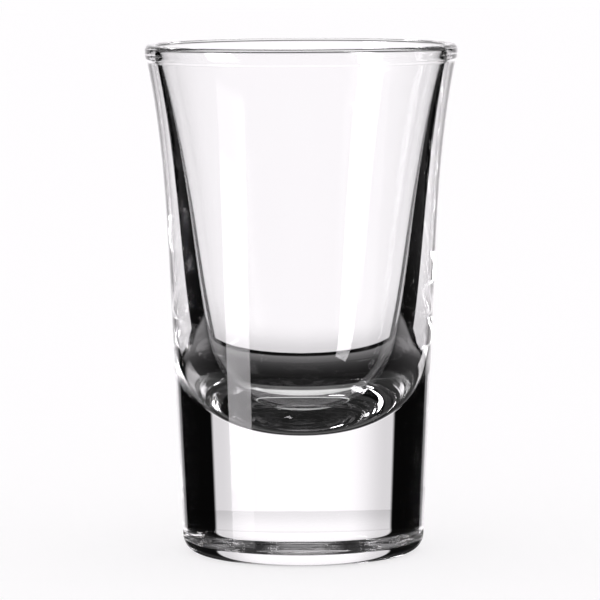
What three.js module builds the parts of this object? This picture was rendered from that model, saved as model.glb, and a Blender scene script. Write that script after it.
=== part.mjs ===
import * as THREE from 'three';

// Liqueur glass, in millimetres, +Z up, standing on z = 0 with its axis through the origin.
// The real glass is pressed and fire-polished in one piece, so it is one closed solid of revolution:
// a thick base, a bowl with a dished floor, and a wall that flares to a beaded rim.

// Outside
const HEIGHT = 82.1;
const RIM_RADIUS = 25.15;
const FOOT_RADIUS = 19.4;
const LOWER_WALL_LEAN = 2.53;
const FLARE_START = 38;
const NECK_LEAN = 11.6;
const HEEL_ROUNDING = 2.7;

// Rim bead: it bulges out above the neck, stands upright, rounds over to a nearly flat crest
// and turns down into the mouth at a tight inner edge
const BEAD_DEPTH = 2.55;
const BEAD_OVERHANG = 0.31;
const BEAD_SHOULDER = 1.65;
const CREST_RADIUS = 24.36;
const CREST_FLATNESS = 1.45;
const INNER_EDGE_FULLNESS = 1.05;
const MOUTH_RADIUS = 23.13;
const MOUTH_DEPTH = 1.52;

// Bowl: a dished floor, a shoulder where the side begins, and a side that flares to the mouth
const BASE_THICKNESS = 19.75;
const FLOOR_FLATNESS = 9.5;
const SHOULDER_HEIGHT = 34;
const SHOULDER_WALL = 5.6;
const SHOULDER_LEAN = 10.5;
const SHOULDER_ROUNDING = 8.8;
const WAIST_HEIGHT = 56;
const WAIST_RADIUS = 18.36;
const WAIST_LEAN = 7.8;
const MOUTH_LEAN = 15.9;

// Hollow under the base, inside the ring that the glass stands on
const STANDING_RING_WIDTH = 1.8;
const PUNT_DEPTH = 0.3;

// Smoothness of the mesh
const SEGMENTS_AROUND = 64;
const STEPS_PER_CURVE = 7;

const GLASS_COLOUR = 0xf2f7f5;

const degrees = THREE.MathUtils.degToRad;

// Radius of the lower outer wall, a straight taper, at a height.
function lowerWallRadius(height) {
  return FOOT_RADIUS + height * Math.tan(degrees(LOWER_WALL_LEAN));
}

// Adds a curve from the path's last point to (r, z) that leaves and arrives at the given leans,
// measured from upright towards the outside.
function curveTo(path, r, z, leanOut, leanIn) {
  const start = path.currentPoint;
  const reach = (z - start.y) / 3;
  path.bezierCurveTo(
    start.x + reach * Math.tan(degrees(leanOut)), start.y + reach,
    r - reach * Math.tan(degrees(leanIn)), z - reach,
    r, z,
  );
}

// The underside: a shallow dome from the axis to the standing ring, then the ring itself.
function addUnderside(path, heelCentre) {
  const puntRadius = heelCentre - STANDING_RING_WIDTH;
  path.moveTo(0, PUNT_DEPTH);
  path.quadraticCurveTo(puntRadius / 2, PUNT_DEPTH, puntRadius, 0);
  path.lineTo(heelCentre, 0);
}

// The heel, the straight lower wall and the flare up to the neck under the rim.
function addOuterWall(path, heelCentre) {
  const lean = degrees(LOWER_WALL_LEAN);
  path.absarc(heelCentre, HEEL_ROUNDING, HEEL_ROUNDING, -Math.PI / 2, -lean, false);
  path.lineTo(lowerWallRadius(FLARE_START), FLARE_START);
  curveTo(path, RIM_RADIUS - BEAD_OVERHANG, HEIGHT - BEAD_DEPTH, LOWER_WALL_LEAN, NECK_LEAN);
}

// The rim bead, from the neck up its outside, over the crest and down to the mouth.
function addRim(path) {
  const neck = HEIGHT - BEAD_DEPTH;
  const face = neck + BEAD_SHOULDER;
  const mouth = HEIGHT - MOUTH_DEPTH;
  path.quadraticCurveTo(RIM_RADIUS, neck, RIM_RADIUS, face);
  path.absellipse(
    CREST_RADIUS, face, RIM_RADIUS - CREST_RADIUS, HEIGHT - face, 0, Math.PI / 2, false, 0,
  );
  path.bezierCurveTo(
    CREST_RADIUS - CREST_FLATNESS, HEIGHT,
    MOUTH_RADIUS + INNER_EDGE_FULLNESS * Math.tan(degrees(MOUTH_LEAN)), mouth + INNER_EDGE_FULLNESS,
    MOUTH_RADIUS, mouth,
  );
}

// The inside, from the mouth down: the flaring side in two curves, then the dished floor.
function addBowl(path) {
  const shoulder = lowerWallRadius(SHOULDER_HEIGHT) - SHOULDER_WALL;
  curveTo(path, WAIST_RADIUS, WAIST_HEIGHT, MOUTH_LEAN, WAIST_LEAN);
  curveTo(path, shoulder, SHOULDER_HEIGHT, WAIST_LEAN, SHOULDER_LEAN);
  path.bezierCurveTo(
    shoulder - SHOULDER_ROUNDING * Math.tan(degrees(SHOULDER_LEAN)),
    SHOULDER_HEIGHT - SHOULDER_ROUNDING,
    FLOOR_FLATNESS, BASE_THICKNESS,
    0, BASE_THICKNESS,
  );
}

function glassOutline() {
  const lean = degrees(LOWER_WALL_LEAN);
  const heelTop = HEEL_ROUNDING * (1 - Math.sin(lean));
  const heelCentre = lowerWallRadius(heelTop) - HEEL_ROUNDING * Math.cos(lean);
  const path = new THREE.Path();
  addUnderside(path, heelCentre);
  addOuterWall(path, heelCentre);
  addRim(path);
  addBowl(path);
  return path.getPoints(STEPS_PER_CURVE);
}

function makeGlass() {
  const geometry = new THREE.LatheGeometry(glassOutline(), SEGMENTS_AROUND);
  geometry.rotateX(Math.PI / 2);
  const material = new THREE.MeshStandardMaterial({
    color: GLASS_COLOUR, roughness: 0.02, metalness: 0, transparent: true, opacity: 0.35,
  });
  const glass = new THREE.Mesh(geometry, material);
  glass.name = 'glass';
  return glass;
}

const liqueurGlass = new THREE.Group();
liqueurGlass.add(makeGlass());

export default liqueurGlass;
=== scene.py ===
from collections import namedtuple
from math import cos, hypot, pi, radians, sin, tan

import bpy
from mathutils import Matrix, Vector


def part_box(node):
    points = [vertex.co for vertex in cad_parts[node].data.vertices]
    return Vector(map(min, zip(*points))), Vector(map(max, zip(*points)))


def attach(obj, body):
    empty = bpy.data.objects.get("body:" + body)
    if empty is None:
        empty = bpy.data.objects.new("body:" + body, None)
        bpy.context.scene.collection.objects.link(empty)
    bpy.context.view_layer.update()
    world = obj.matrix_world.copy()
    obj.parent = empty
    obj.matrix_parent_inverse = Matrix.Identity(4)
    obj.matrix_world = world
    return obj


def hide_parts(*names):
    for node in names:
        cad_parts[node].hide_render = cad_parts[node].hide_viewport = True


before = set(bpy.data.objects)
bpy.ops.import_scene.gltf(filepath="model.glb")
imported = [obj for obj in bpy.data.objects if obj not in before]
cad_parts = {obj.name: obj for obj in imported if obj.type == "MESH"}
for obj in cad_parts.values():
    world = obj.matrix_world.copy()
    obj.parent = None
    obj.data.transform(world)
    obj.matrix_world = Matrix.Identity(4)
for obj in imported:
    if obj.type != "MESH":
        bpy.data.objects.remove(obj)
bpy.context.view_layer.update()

MM = 0.001

# Sizes of the glass, the same ones as the solid's, in metres
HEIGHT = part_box("glass")[1][2]
RIM_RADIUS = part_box("glass")[1][0]
FOOT_RADIUS = 19.4 * MM
LOWER_WALL_LEAN = radians(2.53)
FLARE_START = 38 * MM
NECK_LEAN = radians(11.6)
HEEL_ROUNDING = 2.7 * MM
BEAD_DEPTH = 2.55 * MM
BEAD_OVERHANG = 0.31 * MM
BEAD_SHOULDER = 1.65 * MM
CREST_RADIUS = 24.36 * MM
CREST_FLATNESS = 1.45 * MM
INNER_EDGE_FULLNESS = 1.05 * MM
MOUTH_RADIUS = 23.13 * MM
MOUTH_DEPTH = 1.52 * MM
BASE_THICKNESS = 19.75 * MM
FLOOR_FLATNESS = 9.5 * MM
SHOULDER_HEIGHT = 34 * MM
SHOULDER_WALL = 5.6 * MM
SHOULDER_LEAN = radians(10.5)
SHOULDER_ROUNDING = 8.8 * MM
WAIST_HEIGHT = 56 * MM
WAIST_RADIUS = 18.36 * MM
WAIST_LEAN = radians(7.8)
MOUTH_LEAN = radians(15.9)
STANDING_RING_WIDTH = 1.8 * MM
PUNT_DEPTH = 0.3 * MM

GLASS_IOR = 1.481

# Unevenness of the pressed surface: how close its marks lie and how far they tilt it
RIPPLE = 3.4 * MM
RIPPLE_SLOPE = 0.04
RIPPLE_WARP = 5.0
DENTS_PER_METRE = 170
DENT_SLOPE = 0.12
STRIAE_PER_METRE = 260
STRIA_SLOPE = 0.004
STRIA_STRETCH = 0.12
NOISE_DETAIL = 1.0
NOISE_MIDDLE = (0.5, 0.5, 0.5)

# Where the ripples and dents under the base fade out and where they are full: height and radius
UNDERSIDE_TOP = (0.6 * MM, 0.4 * MM)
UNDERSIDE_RIM = (17.2 * MM, 16.2 * MM)

# Fineness of the visible mesh
SEGMENTS_AROUND = 256
CURVE_STEP = 0.4 * MM
ARC_STEP = CURVE_STEP / 2
LINE_STEP = CURVE_STEP * 2

# The studio that the glass mirrors and bends. Azimuth is 0 behind the glass and grows to the right, and
# elevation is 0 at the horizon, both in degrees. A side is an azimuth without its sign. Each edge is a
# pair: where the thing isn't seen yet and where it is seen in full.
Patch = namedtuple("Patch", "brightness side bottom top")

ROOM = 0.002
ROOM_ABOVE = 0.035
ROOM_ABOVE_EDGE = (18, 24)
TABLE_AROUND = Patch(0.05, side=(62, 66), bottom=(-62, -58), top=(-18, -22))
# This one lies to the right, and its side counts from TABLE_STRIP_AZIMUTH
TABLE_STRIP = Patch(0.7, side=(24, 20), bottom=(-34, -30), top=(-18, -22))
TABLE_STRIP_AZIMUTH = 120

FRONT_LIGHT = Patch(0.4, side=(142, 148), bottom=(48, 52), top=(60, 57))
TOP_LIGHT = Patch(0.5, side=(92, 88), bottom=(67, 70), top=(81, 78))
WIDE_WALL = Patch(0.4, side=(62, 58), bottom=(47, 51), top=(66, 62))
MIDDLE_WALL = Patch(0.95, side=(34, 30), bottom=(37, 41), top=(51, 47))

# The table behind mirrors the panel, and loses a share of that with each degree below its far edge
TABLE_BEHIND_SIDE = (64, 52)
TABLE_BEHIND_TOP = (-21.3, -22.1)
TABLE_FAR_EDGE = -20.5
TABLE_MIRROR = 0.30
TABLE_KEEPS_PER_DEGREE = 0.79
TABLE_DARKEST = 0.003

# The bright panel behind the glass. The edge of its arch is given as a share of the arch's size.
PANEL_HALF_WIDTH = 33
PANEL_ARCH_START = 2
PANEL_ARCH_HEIGHT = 36
PANEL_ARCH_EDGE = (1.03, 0.97)
PANEL_BOTTOM = (-20.3, -20.1)
PANEL_FOOT_TOP = (-12.5, -13.5)
PANEL_FOOT_SIDE = (29, 27)
PANEL_BRIGHTNESS = 1.12
PANEL_LOWEST_BRIGHTNESS = 0.78
PANEL_BRIGHTENS = (-20, -13)
PANEL_SIDE_LOSS = 0.36
PANEL_SIDE_LOSS_SIDE = (13, 29)
PANEL_SIDE_LOSS_BOTTOM = (-11.5, -8.5)

# The tall lamp at the front left. Its azimuth is given at LAMP_PIVOT, and it leans from there.
LAMP_AZIMUTH = -120.5
LAMP_PIVOT = -12
LAMP_LEAN = 0.19
LAMP_SIDE = (12.4, 11.2)
LAMP_BOTTOM = (-21, -19)
LAMP_TOP = (30, 28)
LAMP_FOOT_BRIGHTNESS = 1.4
LAMP_FOOT_TOP = (-13.8, -12.6)
LAMP_BRIGHTNESS = 6.0
LAMP_TOP_BRIGHTNESS = 11.0
LAMP_BRIGHTENS = (-13, 5)

# The white room, seen straight through the glass past the dark flags beside the panel
FLAGS_BOTTOM = (-7, -8)
NARROW_FLAGS_SIDE = (35, 37)
NARROW_FLAGS_LOWEST = (-20.5, -19.5)
WIDE_FLAGS_SIDE = (60, 64)
TALL_FLAGS_SIDE = (70, 74)
STRAIGHT_DOWN = (-62, -66)

# The picture's whites have a trace less green than red and blue
BACKGROUND_GREEN = 0.99
STUDIO_GREEN = 0.972
FLOOR_COLOUR = (1.0, 0.995, 1.0, 1.0)
FLOOR_WHITE = (1.0, BACKGROUND_GREEN, 1.0, 1.0)

# The floor. The share of plain white in what the camera sees keeps the shadow of the glass faint.
FLOOR_HALF_WIDTH = 3.0
FLOOR_GAP = 0.01 * MM
FLOOR_WHITE_SHARE = 0.55

# The table as the glass shows it: painted shade, drawn as a dim glow, under the glass and close to it,
# in a soft shade out to SHADE_EDGE, and white where it is seen from above. Looks down are in degrees.
NEAR_TABLE = 30 * MM
UNDER_GLASS = 18 * MM
# Painted shade, drawn as a dim glow: its strength under the glass and where it ends at NEAR_TABLE
UNDER_GLASS_PAINTED_SHADE = 0.012
NEAR_TABLE_PAINTED_SHADE = 0.14
STEEP_LOOK = (59.3, 64.2)
STEEP_WHITE = 0.9
SHADE_START = 40 * MM
SHADE_EDGE = 71 * MM
SHADE_BLUR = 1 * MM
SHADE_KEEPS = 0.8
FAR_TABLE = (66 * MM, 75 * MM)
FAR_LOOK = (26.1, 30)

# Camera, from the outline of the glass in the photograph
CAMERA_DISTANCE = 652.5 * MM
CAMERA_HEIGHT = 106.7 * MM
CAMERA_PITCH = radians(5.778)
CAMERA_ROLL = radians(-0.274)
FOCAL_PIXELS = 4054.4
IMAGE_PIXELS = 600
SENSOR = 36
AXIS_RIGHT_OF_CENTRE = 2.29

BOUNCES = 32


# Outline of the glass

def step_count(length, step, fewest):
    return max(fewest, round(length / step))


def bezier(p0, p1, p2, p3):
    """Points of a cubic curve, without its first one."""
    steps = step_count(hypot(p3[0] - p0[0], p3[1] - p0[1]), CURVE_STEP, fewest=6)
    points = []
    for i in range(1, steps + 1):
        t = i / steps
        s = 1 - t
        a, b, c, d = s**3, 3 * s * s * t, 3 * s * t * t, t**3
        points.append(tuple(a * p0[k] + b * p1[k] + c * p2[k] + d * p3[k] for k in (0, 1)))
    return points


def rounded_corner(start, corner, end):
    """A curve between two points that bends towards a corner."""
    before = tuple(start[k] + (corner[k] - start[k]) * 2 / 3 for k in (0, 1))
    after = tuple(end[k] + (corner[k] - end[k]) * 2 / 3 for k in (0, 1))
    return bezier(start, before, after, end)


def rising_curve(start, end, lean_out, lean_in):
    """A curve between two points that leaves and arrives at the given leans from upright."""
    reach = (end[1] - start[1]) / 3
    return bezier(
        start,
        (start[0] + reach * tan(lean_out), start[1] + reach),
        (end[0] - reach * tan(lean_in), end[1] - reach),
        end,
    )


def oval_arc(centre, width, height, start, end):
    """Points of an oval arc, without its first one."""
    steps = step_count(abs(end - start) * max(width, height), ARC_STEP, fewest=8)
    points = []
    for i in range(1, steps + 1):
        angle = start + (end - start) * i / steps
        points.append((centre[0] + width * cos(angle), centre[1] + height * sin(angle)))
    return points


def straight_line(start, end):
    """Points of a line, without its first one."""
    steps = step_count(hypot(end[0] - start[0], end[1] - start[1]), LINE_STEP, fewest=2)
    return [
        (start[0] + (end[0] - start[0]) * i / steps, start[1] + (end[1] - start[1]) * i / steps)
        for i in range(1, steps + 1)
    ]


def lower_wall_radius(height):
    return FOOT_RADIUS + height * tan(LOWER_WALL_LEAN)


def glass_outline():
    """The outline from the axis under the base, up the outside, over the rim and down the bowl."""
    heel_top = HEEL_ROUNDING * (1 - sin(LOWER_WALL_LEAN))
    heel_centre = lower_wall_radius(heel_top) - HEEL_ROUNDING * cos(LOWER_WALL_LEAN)
    punt_radius = heel_centre - STANDING_RING_WIDTH
    points = [(0, PUNT_DEPTH)]
    points += rounded_corner(points[-1], (punt_radius / 2, PUNT_DEPTH), (punt_radius, 0))
    points += straight_line(points[-1], (heel_centre, 0))
    points += oval_arc(
        (heel_centre, HEEL_ROUNDING), HEEL_ROUNDING, HEEL_ROUNDING, -pi / 2, -LOWER_WALL_LEAN
    )
    points += straight_line(points[-1], (lower_wall_radius(FLARE_START), FLARE_START))
    neck = (RIM_RADIUS - BEAD_OVERHANG, HEIGHT - BEAD_DEPTH)
    points += rising_curve(points[-1], neck, LOWER_WALL_LEAN, NECK_LEAN)
    face = neck[1] + BEAD_SHOULDER
    points += rounded_corner(neck, (RIM_RADIUS, neck[1]), (RIM_RADIUS, face))
    points += oval_arc((CREST_RADIUS, face), RIM_RADIUS - CREST_RADIUS, HEIGHT - face, 0, pi / 2)
    mouth = HEIGHT - MOUTH_DEPTH
    points += bezier(
        points[-1],
        (CREST_RADIUS - CREST_FLATNESS, HEIGHT),
        (MOUTH_RADIUS + INNER_EDGE_FULLNESS * tan(MOUTH_LEAN), mouth + INNER_EDGE_FULLNESS),
        (MOUTH_RADIUS, mouth),
    )
    points += rising_curve(points[-1], (WAIST_RADIUS, WAIST_HEIGHT), MOUTH_LEAN, WAIST_LEAN)
    shoulder = (lower_wall_radius(SHOULDER_HEIGHT) - SHOULDER_WALL, SHOULDER_HEIGHT)
    points += rising_curve(points[-1], shoulder, WAIST_LEAN, SHOULDER_LEAN)
    points += bezier(
        shoulder,
        (shoulder[0] - SHOULDER_ROUNDING * tan(SHOULDER_LEAN), SHOULDER_HEIGHT - SHOULDER_ROUNDING),
        (FLOOR_FLATNESS, BASE_THICKNESS),
        (0, BASE_THICKNESS),
    )
    return points


def lathe(name, outline, segments):
    """A closed mesh of revolution about Z. The outline starts and ends on the axis."""
    inner = outline[1:-1]
    vertices = [(0, 0, outline[0][1])]
    for r, z in inner:
        for k in range(segments):
            angle = 2 * pi * k / segments
            vertices.append((r * cos(angle), r * sin(angle), z))
    vertices.append((0, 0, outline[-1][1]))
    last = len(vertices) - 1
    faces = []
    for k in range(segments):
        after = (k + 1) % segments
        faces.append((0, 1 + after, 1 + k))
        for i in range(len(inner) - 1):
            low, high = 1 + i * segments, 1 + (i + 1) * segments
            faces.append((low + k, low + after, high + after, high + k))
        top = 1 + (len(inner) - 1) * segments
        faces.append((top + k, top + after, last))
    mesh = bpy.data.meshes.new(name)
    mesh.from_pydata(vertices, [], faces)
    mesh.polygons.foreach_set("use_smooth", [True] * len(mesh.polygons))
    mesh.update()
    piece = bpy.data.objects.new(name, mesh)
    bpy.context.scene.collection.objects.link(piece)
    return piece


# Node helpers

class Nodes:
    """Makes the nodes of one material or world. Inputs may be sockets or plain values."""

    def __init__(self, owner):
        owner.use_nodes = True
        self.tree = owner.node_tree
        self.tree.nodes.clear()

    def make(self, kind, inputs=(), **settings):
        node = self.tree.nodes.new(kind)
        for key, value in settings.items():
            setattr(node, key, value)
        pairs = inputs.items() if isinstance(inputs, dict) else enumerate(inputs)
        for key, value in pairs:
            if isinstance(value, bpy.types.NodeSocket):
                self.tree.links.new(value, node.inputs[key])
            else:
                node.inputs[key].default_value = value
        return node

    def math(self, operation, *values):
        return self.make("ShaderNodeMath", values, operation=operation).outputs[0]

    def vector(self, operation, *values):
        return self.make("ShaderNodeVectorMath", values, operation=operation).outputs[0]

    def scaled(self, vector, factor):
        return self.make("ShaderNodeVectorMath", {0: vector, "Scale": factor}, operation="SCALE").outputs[0]

    def length(self, vector):
        return self.make("ShaderNodeVectorMath", [vector], operation="LENGTH").outputs["Value"]

    def noise(self, place, scale):
        """Fac and Color of a noise texture."""
        inputs = {"Vector": place, "Scale": scale, "Detail": NOISE_DETAIL}
        return self.make("ShaderNodeTexNoise", inputs).outputs

    def smooth(self, value, start, end):
        """0 below start and 1 above end, or the other way round where end is the lower."""
        node = self.make(
            "ShaderNodeMapRange",
            {"Value": value, "From Min": start, "From Max": end, "To Min": 0.0, "To Max": 1.0},
            interpolation_type="SMOOTHSTEP",
        )
        return node.outputs["Result"]

    def both(self, first, *others):
        """The product of masks."""
        for other in others:
            first = self.math("MULTIPLY", first, other)
        return first

    def either(self, first, *others):
        """The highest of masks."""
        for other in others:
            first = self.math("MAXIMUM", first, other)
        return first

    def mix(self, factor, a, b):
        """a where factor is 0 and b where it is 1."""
        return self.make("ShaderNodeMix", {0: factor, 2: a, 3: b}, data_type="FLOAT").outputs[0]

    def mix_shaders(self, factor, a, b):
        """Shader a where factor is 0 and b where it is 1."""
        return self.make("ShaderNodeMixShader", [factor, a, b]).outputs[0]

    def never_mirrored(self):
        """1 for a ray that came straight through the glass, with no reflection on its way."""
        depth = self.make("ShaderNodeLightPath").outputs["Glossy Depth"]
        return self.math("LESS_THAN", depth, 0.5)

    def plain_white(self):
        """1 for the camera's own rays and for the light that the floor gathers."""
        ray = self.make("ShaderNodeLightPath").outputs
        after_floor = self.math("GREATER_THAN", ray["Diffuse Depth"], 0.5)
        return self.either(ray["Is Camera Ray"], ray["Is Diffuse Ray"], after_floor)


# Materials

def uneven_normal(n):
    """The surface as pressing leaves it: ripples and dents under the base, faint striae all over."""
    geometry = n.make("ShaderNodeNewGeometry").outputs
    place = n.make("ShaderNodeTexCoord").outputs["Object"]
    x, y, z = n.make("ShaderNodeSeparateXYZ", [place]).outputs
    flat = n.make("ShaderNodeCombineXYZ", [x, y, 0.0]).outputs[0]
    radius = n.length(flat)
    under = n.both(n.smooth(z, *UNDERSIDE_TOP), n.smooth(radius, *UNDERSIDE_RIM))

    dents = n.noise(place, DENTS_PER_METRE)
    rings = n.math("MULTIPLY", radius, 2 * pi / RIPPLE)
    phase = n.math("ADD", rings, n.math("MULTIPLY", dents["Fac"], RIPPLE_WARP))
    outward = n.vector("NORMALIZE", flat)
    ripple = n.scaled(outward, n.both(n.math("SINE", phase), under, RIPPLE_SLOPE))
    dent = n.scaled(n.vector("SUBTRACT", dents["Color"], NOISE_MIDDLE), n.both(under, DENT_SLOPE))

    stretched = n.vector("MULTIPLY", place, (1.0, 1.0, STRIA_STRETCH))
    striae = n.noise(stretched, STRIAE_PER_METRE)
    stria = n.scaled(n.vector("SUBTRACT", striae["Color"], NOISE_MIDDLE), STRIA_SLOPE)

    lean = n.vector("ADD", n.vector("ADD", ripple, dent), stria)
    outside = n.math("SUBTRACT", 1.0, n.math("MULTIPLY", geometry["Backfacing"], 2.0))
    return n.vector("NORMALIZE", n.vector("ADD", geometry["Normal"], n.scaled(lean, outside)))


def glass_material():
    material = bpy.data.materials.new("clear_glass")
    n = Nodes(material)
    shader = n.make("ShaderNodeBsdfPrincipled", {
        "Base Color": (1.0, 1.0, 1.0, 1.0),
        "Roughness": 0.0,
        "IOR": GLASS_IOR,
        "Transmission Weight": 1.0,
        "Normal": uneven_normal(n),
    })
    n.make("ShaderNodeOutputMaterial", {"Surface": shader.outputs["BSDF"]})
    return material


# Surroundings

def lay_patch(n, value, patch, side, elevation):
    """A lit patch laid over what is there already."""
    upright = n.both(n.smooth(elevation, *patch.bottom), n.smooth(elevation, *patch.top))
    return n.mix(n.both(n.smooth(side, *patch.side), upright), value, patch.brightness)


def lay_table_behind(n, value, side, elevation):
    below = n.math("MAXIMUM", n.math("SUBTRACT", TABLE_FAR_EDGE, elevation), 0.0)
    kept = n.math("MULTIPLY", n.math("POWER", TABLE_KEEPS_PER_DEGREE, below), TABLE_MIRROR)
    table = n.both(n.smooth(side, *TABLE_BEHIND_SIDE), n.smooth(elevation, *TABLE_BEHIND_TOP))
    return n.mix(table, value, n.math("ADD", kept, TABLE_DARKEST))


def lay_panel(n, value, side, elevation):
    """The panel, arched at its top, narrower at its foot and greyer towards its sides."""
    above_start = n.math("MAXIMUM", n.math("SUBTRACT", elevation, PANEL_ARCH_START), 0.0)
    rise = n.math("DIVIDE", above_start, PANEL_ARCH_HEIGHT)
    across = n.math("DIVIDE", side, PANEL_HALF_WIDTH)
    arch = n.math("SQRT", n.math("ADD", n.both(across, across), n.both(rise, rise)))
    foot = n.mix(n.smooth(elevation, *PANEL_FOOT_TOP), 1.0, n.smooth(side, *PANEL_FOOT_SIDE))
    panel = n.both(n.smooth(arch, *PANEL_ARCH_EDGE), foot, n.smooth(elevation, *PANEL_BOTTOM))

    brightness = n.mix(n.smooth(elevation, *PANEL_BRIGHTENS), PANEL_LOWEST_BRIGHTNESS, PANEL_BRIGHTNESS)
    loss = n.both(n.smooth(side, *PANEL_SIDE_LOSS_SIDE), n.smooth(elevation, *PANEL_SIDE_LOSS_BOTTOM))
    loss = n.math("MULTIPLY", loss, PANEL_SIDE_LOSS)
    return n.mix(panel, value, n.math("SUBTRACT", brightness, loss))


def lay_lamp(n, value, azimuth, elevation):
    """The tall lamp, which leans and is brightest at its top."""
    lean = n.math("MULTIPLY", n.math("SUBTRACT", elevation, LAMP_PIVOT), LAMP_LEAN)
    off = n.math("ABSOLUTE", n.math("SUBTRACT", n.math("SUBTRACT", azimuth, lean), LAMP_AZIMUTH))
    upright = n.both(n.smooth(elevation, *LAMP_BOTTOM), n.smooth(elevation, *LAMP_TOP))
    lamp = n.both(n.smooth(off, *LAMP_SIDE), upright)
    upper = n.mix(n.smooth(elevation, *LAMP_BRIGHTENS), LAMP_BRIGHTNESS, LAMP_TOP_BRIGHTNESS)
    brightness = n.mix(n.smooth(elevation, *LAMP_FOOT_TOP), LAMP_FOOT_BRIGHTNESS, upper)
    return n.mix(lamp, value, brightness)


def studio_brightness(n, azimuth, side, elevation):
    """What the glass sees in a direction: a bright panel behind it and one lamp in a dim room."""
    value = n.mix(n.smooth(elevation, *ROOM_ABOVE_EDGE), ROOM, ROOM_ABOVE)
    value = lay_patch(n, value, TABLE_AROUND, side, elevation)
    strip_side = n.math("ABSOLUTE", n.math("SUBTRACT", azimuth, TABLE_STRIP_AZIMUTH))
    value = lay_patch(n, value, TABLE_STRIP, strip_side, elevation)
    value = lay_table_behind(n, value, side, elevation)
    for patch in (FRONT_LIGHT, TOP_LIGHT, WIDE_WALL, MIDDLE_WALL):
        value = lay_patch(n, value, patch, side, elevation)
    value = lay_panel(n, value, side, elevation)
    return lay_lamp(n, value, azimuth, elevation)


def white_room(n, side, elevation):
    """1 where the glass shows the white room: past the dark flags beside the panel, and straight down."""
    under_flags = n.smooth(elevation, *FLAGS_BOTTOM)
    past_narrow = n.both(n.smooth(side, *NARROW_FLAGS_SIDE), n.smooth(elevation, *NARROW_FLAGS_LOWEST))
    past_flags = n.both(n.either(past_narrow, n.smooth(side, *WIDE_FLAGS_SIDE)), under_flags)
    past_tall = n.smooth(side, *TALL_FLAGS_SIDE)
    room = n.either(past_tall, past_flags, n.smooth(elevation, *STRAIGHT_DOWN))
    return n.both(room, n.never_mirrored())


def make_world():
    world = bpy.data.worlds.new("studio")
    bpy.context.scene.world = world
    n = Nodes(world)
    direction = n.make("ShaderNodeTexCoord").outputs["Generated"]
    x, y, z = n.make("ShaderNodeSeparateXYZ", [direction]).outputs
    azimuth = n.math("DEGREES", n.math("ARCTAN2", x, y))
    elevation = n.math("DEGREES", n.math("ARCSINE", z))
    side = n.math("ABSOLUTE", azimuth)

    plain = n.plain_white()
    white = n.either(white_room(n, side, elevation), plain)
    strength = n.mix(white, studio_brightness(n, azimuth, side, elevation), 1.0)
    green = n.mix(plain, STUDIO_GREEN, BACKGROUND_GREEN)
    tint = n.make("ShaderNodeCombineColor", [1.0, green, 1.0]).outputs[0]
    background = n.make("ShaderNodeBackground", {"Color": tint, "Strength": strength})
    n.make("ShaderNodeOutputWorld", {"Surface": background.outputs[0]})


def facing(look_down):
    """What Layer Weight calls Facing on the level floor, for a look down in degrees."""
    return 1 - sin(radians(look_down))


def table_through_glass(n, white):
    """The table as the glass shows it. Where it isn't drawn here, the studio under it shows."""
    position = n.make("ShaderNodeNewGeometry").outputs["Position"]
    radius = n.length(position)
    looked = n.make("ShaderNodeLayerWeight", {"Blend": 0.5}).outputs["Facing"]
    straight = n.never_mirrored()

    # the soft shade that the glass casts round itself, which its base shows as a faint arc
    shade_end = n.smooth(radius, SHADE_EDGE + SHADE_BLUR, SHADE_EDGE)
    shade = n.mix(n.both(shade_end, n.smooth(radius, SHADE_START, SHADE_EDGE)), 1.0, SHADE_KEEPS)
    grey = n.make("ShaderNodeCombineColor", [shade, shade, shade]).outputs[0]
    clear = n.make("ShaderNodeBsdfTransparent", {"Color": grey}).outputs[0]
    from_above = n.smooth(looked, *(facing(look) for look in FAR_LOOK))
    far = n.both(straight, n.smooth(radius, *FAR_TABLE), from_above)
    table = n.mix_shaders(far, clear, white)

    # painted shade close to the glass, drawn as a dim glow, but white where it is seen steeply
    # the painted shade's strength, darkest under the glass
    painted_shade_level = n.mix(n.smooth(radius, UNDER_GLASS, NEAR_TABLE), UNDER_GLASS_PAINTED_SHADE, NEAR_TABLE_PAINTED_SHADE)
    steep = n.both(straight, n.smooth(looked, *(facing(look) for look in STEEP_LOOK)))
    dark = n.make("ShaderNodeEmission", {"Strength": n.mix(steep, painted_shade_level, STEEP_WHITE)}).outputs[0]
    return n.mix_shaders(n.math("LESS_THAN", radius, NEAR_TABLE), table, dark)


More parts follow.
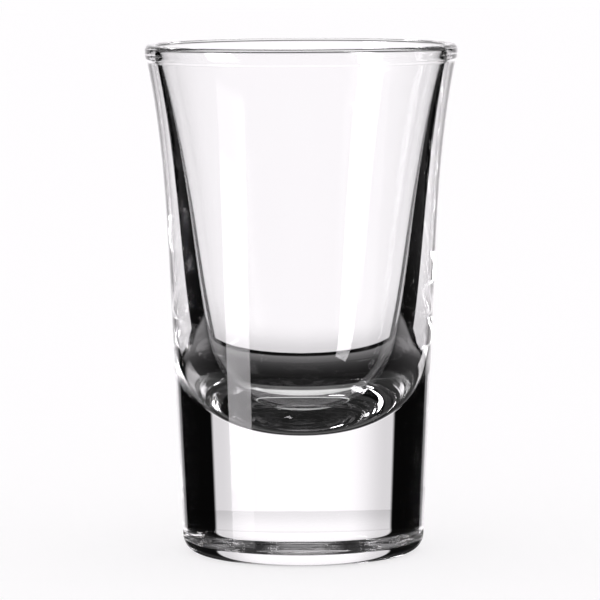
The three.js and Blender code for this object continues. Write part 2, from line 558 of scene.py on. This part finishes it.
def floor_material():
    material = bpy.data.materials.new("pale_floor")
    n = Nodes(material)
    diffuse = n.make("ShaderNodeBsdfDiffuse", {"Color": FLOOR_COLOUR}).outputs[0]
    white = n.make("ShaderNodeEmission", {"Color": FLOOR_WHITE, "Strength": 1.0}).outputs[0]
    camera = n.make("ShaderNodeLightPath").outputs["Is Camera Ray"]
    pale = n.mix_shaders(n.math("MULTIPLY", camera, FLOOR_WHITE_SHARE), diffuse, white)
    surface = n.mix_shaders(n.plain_white(), table_through_glass(n, white), pale)
    n.make("ShaderNodeOutputMaterial", {"Surface": surface})
    return material


def make_floor():
    mesh = bpy.data.meshes.new("floor")
    half = FLOOR_HALF_WIDTH
    corners = [(-half, -half, 0), (half, -half, 0), (half, half, 0), (-half, half, 0)]
    mesh.from_pydata(corners, [], [(0, 1, 2, 3)])
    floor = bpy.data.objects.new("floor", mesh)
    bpy.context.scene.collection.objects.link(floor)
    floor.location.z = -FLOOR_GAP
    mesh.materials.append(floor_material())


def make_camera():
    data = bpy.data.cameras.new("camera")
    data.sensor_width = SENSOR
    data.lens = FOCAL_PIXELS * SENSOR / IMAGE_PIXELS
    data.shift_x = -AXIS_RIGHT_OF_CENTRE / IMAGE_PIXELS
    camera = bpy.data.objects.new("camera", data)
    bpy.context.scene.collection.objects.link(camera)
    turn = Matrix.Rotation(pi / 2 - CAMERA_PITCH, 4, "X") @ Matrix.Rotation(CAMERA_ROLL, 4, "Z")
    camera.matrix_world = Matrix.Translation((0, -CAMERA_DISTANCE, CAMERA_HEIGHT)) @ turn
    bpy.context.scene.camera = camera


def make_glass():
    piece = lathe("glass_body", glass_outline(), SEGMENTS_AROUND)
    piece.data.materials.append(glass_material())
    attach(piece, "root")
    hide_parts("glass")


def set_render_look():
    scene = bpy.context.scene
    scene.view_settings.view_transform = "Standard"
    scene.cycles.max_bounces = BOUNCES
    scene.cycles.transmission_bounces = BOUNCES
    scene.cycles.glossy_bounces = BOUNCES


make_camera()
make_world()
make_floor()
make_glass()
set_render_look()
